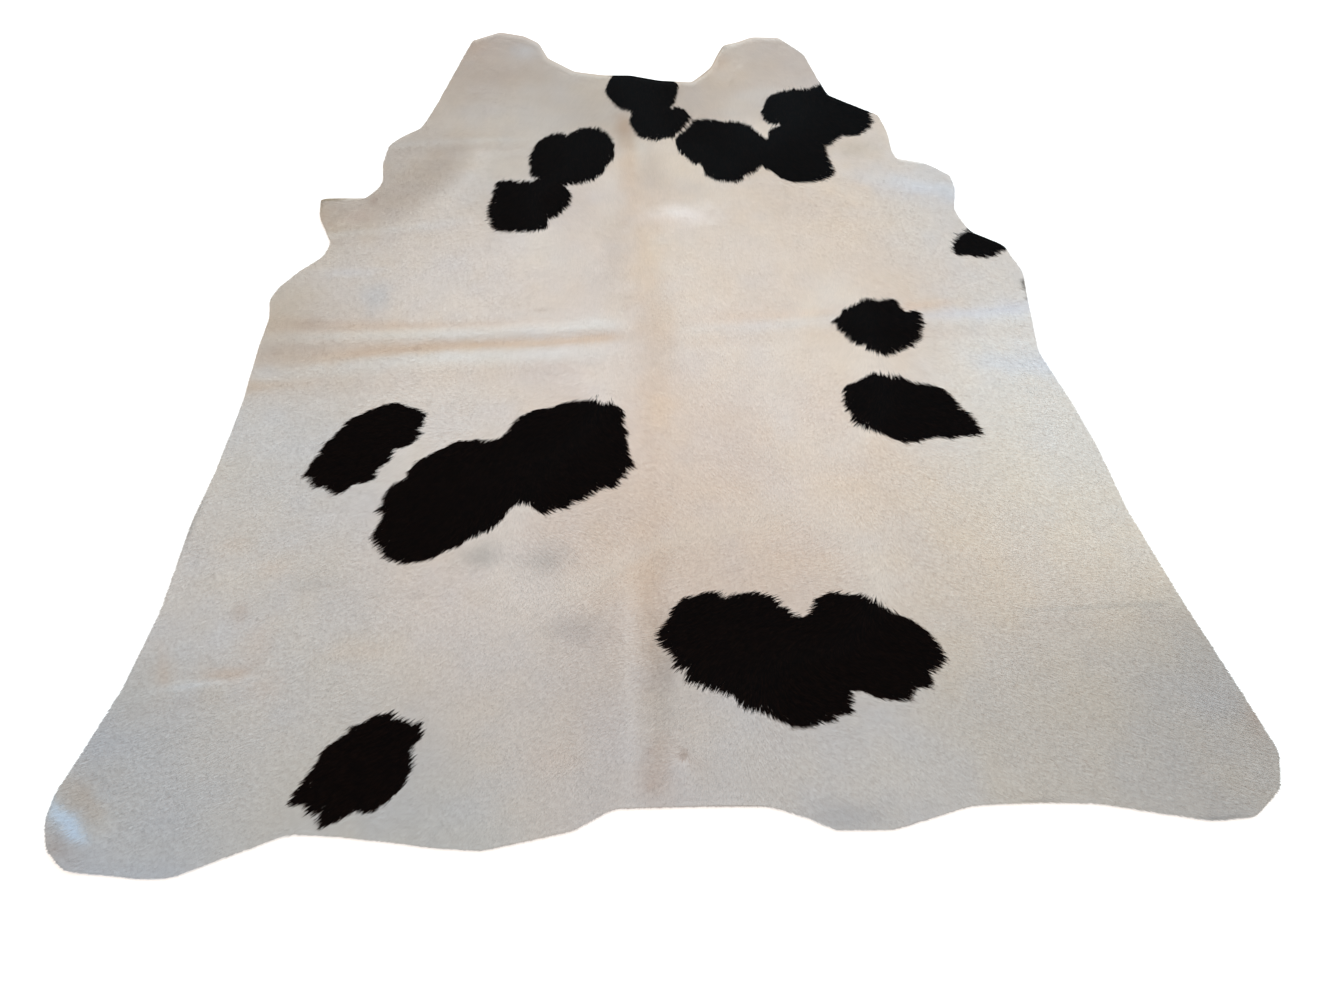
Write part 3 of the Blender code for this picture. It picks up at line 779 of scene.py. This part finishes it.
def closed_curve(corners, step, bend):
    """A closed curve through the corners, cut into short pieces; the less bend, the straighter."""
    corners = np.asarray(corners, float)
    line = []
    for index in range(len(corners)):
        before, start, end, after = (corners[(index + k) % len(corners)] for k in (-1, 0, 1, 2))
        pieces = max(1, math.ceil(np.linalg.norm(end - start) / step))
        for share in np.arange(pieces) / pieces:
            leave = bend * (end - before) * share * (1.0 - share) ** 2
            arrive = bend * (after - start) * share ** 2 * (1.0 - share)
            line.append(start + (end - start) * smooth(share) + leave - arrive)
    return np.array(line)


def is_inside(points, loop):
    """True for each point within the loop."""
    order = np.argsort(points[:, 1], kind="stable")
    rows = points[order, 1]
    inside = np.zeros(len(points), bool)
    for start, end in zip(loop, np.roll(loop, -1, axis=0)):
        if start[1] == end[1]:
            continue
        first, last = np.searchsorted(rows, sorted((start[1], end[1])))
        there = order[first:last]
        share = (points[there, 1] - start[1]) / (end[1] - start[1])
        inside[there] ^= points[there, 0] < start[0] + share * (end[0] - start[0])
    return inside


def depth_within(points, loop, reach):
    """How deep within the loop each point is, below 0 outside it and never beyond the reach,
    and the way out of the loop there."""
    off = np.full(len(points), float(reach))
    way = np.zeros((len(points), 2))
    onward = np.roll(loop, -1, axis=0)
    for first in range(0, len(loop), RUN):
        starts, ends = loop[first:first + RUN], onward[first:first + RUN]
        run = np.vstack([starts, ends])
        near = between(points, run.min(0) - reach, run.max(0) + reach)
        here = points[near]
        for start, end in zip(starts, ends):
            found, offset, _ = beside(here, start, end, reach)
            away = np.hypot(*offset.T)
            nearer = away < off[near[found]]
            off[near[found[nearer]]] = away[nearer]
            way[near[found[nearer]]] = offset[nearer]
    inside = is_inside(points, loop)
    way *= np.where(inside, -1.0, 1.0)[:, None]
    way /= np.maximum(np.hypot(*way.T), TINY)[:, None]
    return np.where(inside, off, -off), way


def packed_rim(node):
    """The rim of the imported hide, in order round it."""
    mesh = node.data
    after = {}
    places = [tuple(round(x, RIM_DIGITS) for x in vertex.co[:2]) for vertex in mesh.vertices]
    for face in mesh.polygons:
        if abs(face.normal.z) > WALL_RISE:
            continue
        corners = [places[index] for index in face.vertices]
        for start, end in zip(corners, corners[1:] + corners[:1]):
            if start != end:
                after.setdefault(start, set()).add(end)
                after.setdefault(end, set()).add(start)
    start = min(after)
    loop, before, here = [start], None, start
    while True:
        onward = [place for place in sorted(after[here]) if place != before]
        before, here = here, onward[0]
        if here == start:
            return np.array(loop)
        loop.append(here)


def cut_edge(node):
    """The cut edge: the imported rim, a little rounded and wavering."""
    loop = closed_curve(packed_rim(node), CUT_STEP, CUT_BEND)
    across = np.roll(loop, -1, axis=0) - np.roll(loop, 1, axis=0)
    across = np.column_stack([across[:, 1], -across[:, 0]])
    across /= np.hypot(*across.T)[:, None]
    return loop + across * (waves(loop, CUT_WAVES) * CUT_WAVER)[:, None]


def pool_colour(points):
    """The pale coat's colour, with the pools' painted shade and window light, but without streaks and
    small marks, from 0 to 255.
    """
    total = np.zeros((len(points), 3))
    weights = np.zeros(len(points))
    for across, along, reach, *colour in in_metres(POOLS.values(), 3):
        away = distance(points, across, along)
        weight = np.exp(-0.5 * (away / (reach * POOL_SOFTNESS)) ** 2) + POOL_FLOOR
        total += weight[:, None] * colour
        weights += weight
    colour = total / weights[:, None]
    colour += waves(points, WARM_WAVES)[:, None] * WARMER
    colour += (waves(points, SHADE_WAVES) * LIGHTER)[:, None]
    return colour


def streak_weight(points, line):
    """How strongly a streak shows at each place."""
    strongest = np.zeros(len(points))
    for found, away, half, strength in beside_line(points, line, 2, STREAK_REACH):
        ragged = 1.0 + waves(points[found], STREAK_WAVES)
        weight = strength * np.exp(-0.5 * (away / (half * ragged)) ** 2)
        strongest[found] = np.maximum(strongest[found], weight)
    return strongest


def coat_colour(points):
    """The pale coat's colour at each place, linear, with the painted shade and highlights of pools,
    streaks and small marks.
    """
    colour = pool_colour(points)
    for change, line in STREAKS.values():
        colour += streak_weight(points, in_metres(line, 3))[:, None] * change
    ragged = 1.0 + waves(points, STAIN_WAVES)
    for across, along, wide, long, strength, *tint in in_metres(STAINS_AND_PAINTED_LIGHT.values(), 4):
        away = np.hypot((points[:, 0] - across) / wide, (points[:, 1] - along) / long)
        weight = strength * np.exp(-0.5 * (away * ragged) ** 2)
        colour += weight[:, None] * (np.array(tint) - colour)
    return linear(np.clip(colour, *COLOUR_RANGE))


def patch_depth(points):
    """Depth within the nearest black patch, below 0 outside, and the way out of it."""
    depth = np.full(len(points), -PATCH_REACH)
    way = np.zeros((len(points), 2))
    for corners in PATCHES.values():
        loop = closed_curve(in_metres(corners, 2), PATCH_STEP, PATCH_BEND)
        near = between(points, loop.min(0) - PATCH_REACH, loop.max(0) + PATCH_REACH)
        here, out = depth_within(points[near], loop, PATCH_REACH)
        deeper = here > depth[near]
        depth[near[deeper]] = here[deeper]
        way[near[deeper]] = out[deeper]
    return depth + waves(points, PATCH_WAVES), way


def turned(vectors, angle):
    cos, sin = np.cos(angle), np.sin(angle)
    return np.column_stack([
        vectors[:, 0] * cos - vectors[:, 1] * sin, vectors[:, 0] * sin + vectors[:, 1] * cos,
    ])


def hair_lie(points):
    """The way each hair's tip points, in plan."""
    lie = np.zeros((len(points), 2))
    for across, along, *tip in in_metres(sum(LIE.values(), ()), 2):
        away = distance(points, across, along)
        lie += np.array(tip) / (LIE_REACH ** 2 + away ** 2)[:, None] ** LIE_FADE
    lie /= np.hypot(*lie.T)[:, None]
    from_whorl = points - WHORL
    away = np.hypot(*from_whorl.T)
    outward = from_whorl / np.maximum(away, TINY)[:, None]
    lie += (WHORL_PULL * smooth(1.0 - away / WHORL_REACH))[:, None] * outward
    lie /= np.maximum(np.hypot(*lie.T), TINY)[:, None]
    return turned(lie, np.radians(waves(points, SWIRL_WAVES)))


def tufts(points, lie):
    """The middle of the slim tuft each hair is in, and three random values of that tuft."""
    jitter, chance = lattice(TUFT_SEEDS[0], 2), lattice(TUFT_SEEDS[1], 3)
    cell = np.floor(points / TUFT).astype(int)
    best = np.full(len(points), np.inf)
    middle = np.zeros((len(points), 2))
    values = np.zeros((len(points), 3))
    steps = range(-TUFTS_AROUND, TUFTS_AROUND + 1)
    for step_across in steps:
        for step_along in steps:
            i, j = cell[:, 0] + step_across, cell[:, 1] + step_along
            shift = jitter[i % LATTICE, j % LATTICE] * TUFT_JITTER
            spot = (np.column_stack([i, j]) + 0.5 + shift) * TUFT
            offset = points - spot
            onward = np.sum(offset * lie, axis=1)
            beyond = offset[:, 0] * lie[:, 1] - offset[:, 1] * lie[:, 0]
            away = np.hypot(onward / TUFT_SLIM, beyond)
            nearer = away < best
            best[nearer] = away[nearer]
            middle[nearer] = spot[nearer]
            values[nearer] = chance[i % LATTICE, j % LATTICE][nearer]
    return middle, values


def hair_roots(loop):
    """Places of the hair roots: even, with none in line."""
    low, high = loop.min(0), loop.max(0)
    chance = np.random.default_rng(ROOT_SEED)
    rows = np.arange(low[1], high[1], HAIR_SPACING * ROW_SPACING)
    columns = np.arange(low[0], high[0], HAIR_SPACING)
    across, along = np.meshgrid(columns, rows)
    across = across + (np.arange(len(rows)) % 2 * 0.5 * HAIR_SPACING)[:, None]
    points = np.column_stack([across.ravel(), along.ravel()])
    points += chance.uniform(-ROOT_JITTER, ROOT_JITTER, points.shape) * HAIR_SPACING
    return points[is_inside(points, loop)]


def hair_lengths(points, lie, tuft, ground, chance):
    """Lengths of the hairs, short enough over a fold to stay close to it: the middle of a chord
    is its length squared times the bend, over 8, off its curve."""
    length = HAIR_LENGTH * (1.0 + TUFT_LENGTH * tuft[:, 1])
    length = length * chance.uniform(*LENGTH_RANGE, len(points))
    ahead = ground.read(ground.slope, points + lie * BEND_SAMPLE)
    behind = ground.read(ground.slope, points - lie * BEND_SAMPLE)
    bend = np.linalg.norm(ahead - behind, axis=1) / (2.0 * BEND_SAMPLE)
    return np.minimum(length, np.sqrt(8.0 * BEND_GAP / np.maximum(bend, FLATTEST)))


def hair_patches(shown, lie, tuft, chance):
    """How deep in a black patch each hair is, and how tightly its tuft is drawn together."""
    depth, way = patch_depth(shown)
    end_on = np.abs(np.sum(lie * way, axis=1))
    depth = depth + PATCH_TEETH * tuft[:, 2] * end_on ** 2
    depth = depth + chance.normal(0.0, PATCH_GRAIN, len(shown))
    near = end_on * np.exp(-(depth / PATCH_PULL_REACH) ** 2)
    return depth, TUFT_PULL + (PATCH_PULL - TUFT_PULL) * near


def hair_tips(points, lie, length, middle, pull, loop):
    """Places of the tips: drawn to the middle line of the tuft, and cut at the cut edge."""
    across = np.column_stack([-lie[:, 1], lie[:, 0]])
    aside = np.sum((middle - points) * across, axis=1)
    tip = points + lie * length[:, None] + across * (aside * pull)[:, None]
    depth, _ = depth_within(tip, loop, RIM_REACH)
    keep = np.clip(1.0 - np.maximum(-depth - OVERHANG, 0.0) / length, SHORTEST, 1.0)
    return points + (tip - points) * keep[:, None]


def hair_corners(points, tip, side, roll, black, tuft, ground, chance):
    """Corners of each hair: the two of its root, then its tip."""
    count = len(points)
    half = 0.5 * HAIR_WIDTH * chance.uniform(*WIDTH_RANGE, count)
    stray = chance.uniform(-RISE_STRAY, RISE_STRAY, count)
    rise = HAIR_RISE * (1.0 + TUFT_RISE * tuft[:, 1] + stray)
    rise = np.where(black, rise + BLACK_RISE, rise)
    root_height = ground.skin(points) - HAIR_SINK
    tip_height = ground.skin(tip) + rise
    for share in CLEARED:
        least = ground.skin(points + (tip - points) * share) + CLEARANCE * share
        tip_height = np.maximum(tip_height, root_height + (least - root_height) / share)
    tip_height = np.minimum(tip_height, ground.skin(tip) + HIGHEST_TIP)
    places = (points + side * half[:, None], points - side * half[:, None], tip)
    heights = (root_height + half * np.sin(roll), root_height - half * np.sin(roll), tip_height)
    return np.stack([np.column_stack(corner) for corner in zip(places, heights)], axis=1)


def hair_normals(points, tip, run, side, roll, ground):
    """Normals of the hide under each hair's corners, leaning with the hair's roll."""
    lean = np.column_stack([side * np.sin(roll)[:, None] + run * HAIR_LEAN, np.zeros(len(run))])
    normals = np.stack([ground.normal(place) - lean for place in (points, points, tip)], axis=1)
    return normals / np.linalg.norm(normals, axis=2)[..., None]


def hair_colours(shown, depth, tuft, chance):
    """A colour for each corner of each hair."""
    count = len(shown)
    colour = coat_colour(shown) * chance.uniform(*SHADE_RANGE, count)[:, None]
    colour *= (1.0 + TUFT_SHADE * tuft[:, 1])[:, None] * COAT_GAIN
    brown = chance.uniform(0.0, 1.0, count)[:, None] ** 3
    brown += EDGE_BROWN * smooth(1.0 - depth / BROWN_EDGE)[:, None]
    brown = np.clip(brown, 0.0, 1.0)
    dark = linear(BLACK_HAIR) + (linear(BROWN_HAIR) - linear(BLACK_HAIR)) * brown
    colour = np.where((depth > 0.0)[:, None], dark, colour)
    # the roots take a little painted shade
    return np.stack([colour * ROOT_SHADE, colour * ROOT_SHADE, colour], axis=1)


def hairs(points, ground, loop):
    """Corners, normals and colours of a long thin triangle for each hair, and which are black."""
    chance = np.random.default_rng(HAIR_SEED)
    count = len(points)
    lie = hair_lie(points)
    middle, tuft = tufts(points, lie)
    stray = chance.normal(0.0, HAIR_STRAY, count) + TUFT_STRAY * tuft[:, 0]
    lie = turned(lie, np.radians(stray))
    length = hair_lengths(points, lie, tuft, ground, chance)
    shown = points + lie * (SHOWN * length)[:, None]
    depth, pull = hair_patches(shown, lie, tuft, chance)
    tip = hair_tips(points, lie, length, middle, pull, loop)
    run = (tip - points) / np.hypot(*(tip - points).T)[:, None]
    side = np.column_stack([-run[:, 1], run[:, 0]])
    own = chance.normal(0.0, 1.0, count)
    roll = np.radians(HAIR_ROLL * (TUFT_ROLL * tuft[:, 2] + (1.0 - TUFT_ROLL) * own))
    corners = hair_corners(points, tip, side, roll, depth > 0.0, tuft, ground, chance)
    normals = hair_normals(points, tip, run, side, roll, ground)
    return corners, normals, hair_colours(shown, depth, tuft, chance), depth > 0.0


def triangle_mesh(name, corners, triangles):
    mesh = bpy.data.meshes.new(name)
    mesh.vertices.add(len(corners))
    mesh.vertices.foreach_set("co", np.asarray(corners, np.float32).ravel())
    mesh.loops.add(triangles.size)
    mesh.loops.foreach_set("vertex_index", triangles.astype(np.int32).ravel())
    mesh.polygons.add(len(triangles))
    starts = np.arange(0, triangles.size, 3, dtype=np.int32)
    mesh.polygons.foreach_set("loop_start", starts)
    mesh.update(calc_edges=True)
    return mesh


def add_vectors(mesh, name, values):
    attribute = mesh.attributes.new(name, "FLOAT_VECTOR", "POINT")
    attribute.data.foreach_set("vector", np.asarray(values, np.float32).ravel())


def place_object(name, data):
    thing = bpy.data.objects.new(name, data)
    bpy.context.scene.collection.objects.link(thing)
    return thing


def hair_piece(name, corners, normals, colours, material):
    count = len(corners)
    mesh = triangle_mesh(name, corners.reshape(-1, 3), np.arange(3 * count).reshape(-1, 3))
    add_vectors(mesh, "custom_normal", normals)
    # each corner's colour, painted shade and highlights included
    add_vectors(mesh, "coat", colours)
    roots = corners[:, :2, :2].mean(axis=1)
    low, high = roots.min(0), roots.max(0)
    spot = (roots - low) / (high - low) * (1.0 - 2.0 * BAKE_MARGIN) + BAKE_MARGIN
    places = spot[:, None, :] + np.array(BAKE_CELL) * HAIR_SPACING / (high - low)
    layer = mesh.uv_layers.new(name="OFBake")
    layer.data.foreach_set("uv", np.asarray(places, np.float32).ravel())
    mesh.materials.append(material)
    return place_object(name, mesh)


def skin_plan(loop):
    """Points of the skin in plan, and triangles between them: the cut edge, then within it."""
    low, high = loop.min(0), loop.max(0)
    chance = np.random.default_rng(SKIN_SEED)
    across, along = np.meshgrid(*(np.arange(low[k], high[k], SKIN_STEP) for k in range(2)))
    inner = np.column_stack([across.ravel(), along.ravel()])
    inner += chance.uniform(-SKIN_JITTER, SKIN_JITTER, inner.shape) * SKIN_STEP
    depth, _ = depth_within(inner, loop, RIM_REACH)
    inner = inner[depth > RIM_GAP * SKIN_STEP]
    places = [Vector(place) for place in np.vstack([loop, inner])]
    lines = [(index, (index + 1) % len(loop)) for index in range(len(loop))]
    places, _, triangles, *_ = delaunay_2d_cdt(places, lines, [], 1, MERGE)
    return np.array([place[:] for place in places]), triangles


def skin_mesh(loop, ground):
    """One closed skin: hair side, flesh side and cut edge."""
    points, triangles = skin_plan(loop)
    count = len(points)
    top = np.array(triangles)
    below = top[:, ::-1] + count
    edges = {(face[k - 1], face[k]) for face in triangles for k in range(3)}
    rim = [(start, end) for start, end in edges if (end, start) not in edges]
    wall = np.array([
        face for start, end in sorted(rim)
        for face in ((end, start, start + count), (end, start + count, end + count))
    ])
    flesh_side = ground.read(ground.height, points)
    corners = np.vstack([
        np.column_stack([points, flesh_side + LEATHER]), np.column_stack([points, flesh_side]),
    ])
    mesh = triangle_mesh("hide_skin", corners, np.vstack([top, below, wall]))
    slots = np.repeat([0, 1, 2], [len(top), len(below), len(wall)]).astype(np.int32)
    mesh.polygons.foreach_set("material_index", slots)
    mesh.set_sharp_from_angle(angle=math.radians(CREASE))
    depth, _ = patch_depth(points + hair_lie(points) * SHOWN * HAIR_LENGTH)
    # the skin takes the coat's colour, with its painted shade and highlights
    colour = coat_colour(points) * COAT_GAIN
    colour = np.where((depth > 0.0)[:, None], linear(BLACK_SKIN), colour)
    add_vectors(mesh, "coat", np.vstack([colour, colour]))
    return mesh


def plain_material(name):
    colour, roughness, specular = SURFACES[name]
    material = bpy.data.materials.new(name)
    material.use_nodes = True
    shader = material.node_tree.nodes["Principled BSDF"]
    shader.inputs["Base Color"].default_value = (*linear(colour), 1.0)
    shader.inputs["Roughness"].default_value = roughness
    shader.inputs["Specular IOR Level"].default_value = specular
    return material


def hair_material(name):
    """A material that takes its colour from the values of each hair or corner."""
    material = plain_material(name)
    nodes, links = material.node_tree.nodes, material.node_tree.links
    own = nodes.new("ShaderNodeAttribute")
    own.attribute_name = "coat"
    links.new(own.outputs["Vector"], nodes["Principled BSDF"].inputs["Base Color"])
    return material


def add_skin(loop, ground):
    """The hide without its hair."""
    mesh = skin_mesh(loop, ground)
    mesh.materials.append(hair_material("skin_under_the_hair"))
    mesh.materials.append(plain_material("flesh_side"))
    mesh.materials.append(plain_material("cut_edge"))
    return place_object("hide_skin", mesh)


def add_coat(loop, ground):
    """The pieces of the hair: the pale coat from the neck to the tail, then the patches."""
    pale, black = hair_material("cream_hair"), hair_material("black_hair")
    roots = hair_roots(loop)
    *values, is_black = hairs(roots, ground, loop)
    pieces = []
    highest = np.inf
    for name, lowest in COATS:
        there = (roots[:, 1] <= highest) & (roots[:, 1] > lowest) & ~is_black
        pieces.append(hair_piece(name, *(value[there] for value in values), pale))
        highest = lowest
    pieces.append(hair_piece("patch_hair", *(value[is_black] for value in values), black))
    return pieces


def add_camera():
    data = bpy.data.cameras.new("camera")
    camera = place_object("camera", data)
    camera.location = EYE
    camera.rotation_euler = (math.radians(90.0 - LOOK_DOWN), 0.0, math.radians(-LOOK_RIGHT))
    data.sensor_width = SENSOR
    data.lens = SENSOR * FOCAL_PIXELS / PICTURE_WIDTH
    data.clip_start, data.clip_end = CLIP
    bpy.context.scene.camera = camera


def add_light():
    """A warm even room, and a wide cool window beyond the neck."""
    world = bpy.data.worlds.new("room")
    world.use_nodes = True
    room = world.node_tree.nodes["Background"]
    room.inputs["Color"].default_value = (*ROOM_COLOUR, 1.0)
    room.inputs["Strength"].default_value = ROOM_STRENGTH
    bpy.context.scene.world = world
    data = bpy.data.lights.new("window", "SUN")
    data.energy = WINDOW_STRENGTH
    data.color = WINDOW_COLOUR
    data.angle = math.radians(WINDOW_WIDTH)
    lamp = place_object("window", data)
    lamp.rotation_euler = Vector(WINDOW_WAY).to_track_quat("Z", "Y").to_euler()


def add_floor():
    mesh = bpy.data.meshes.new("floor")
    signs = ((-1, -1), (1, -1), (1, 1), (-1, 1))
    corners = [(x * FLOOR_REACH, y * FLOOR_REACH, FLOOR_TOP) for x, y in signs]
    mesh.from_pydata(corners, [], [(0, 1, 2, 3)])
    material = plain_material("pale_floor")
    shader = material.node_tree.nodes["Principled BSDF"]
    # painted light: the floor glows, so that shadows on it fade
    shader.inputs["Emission Color"].default_value = (1.0, 1.0, 1.0, 1.0)
    shader.inputs["Emission Strength"].default_value = FLOOR_GLOW
    mesh.materials.append(material)
    place_object("floor", mesh)


def main():
    for found in list(bpy.data.objects):
        bpy.data.objects.remove(found, do_unlink=True)
    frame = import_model()
    ground = Ground(*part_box("hide"))
    loop = cut_edge(frame["nodes"]["hide"])

    hide = add_skin(loop, ground)
    coats = add_coat(loop, ground)
    for piece in (hide, *coats):
        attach(piece, "root")
    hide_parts("hide")

    add_floor()
    add_light()
    add_camera()
    view = bpy.context.scene.view_settings
    view.view_transform = "Standard"
    view.look = "None"


main()
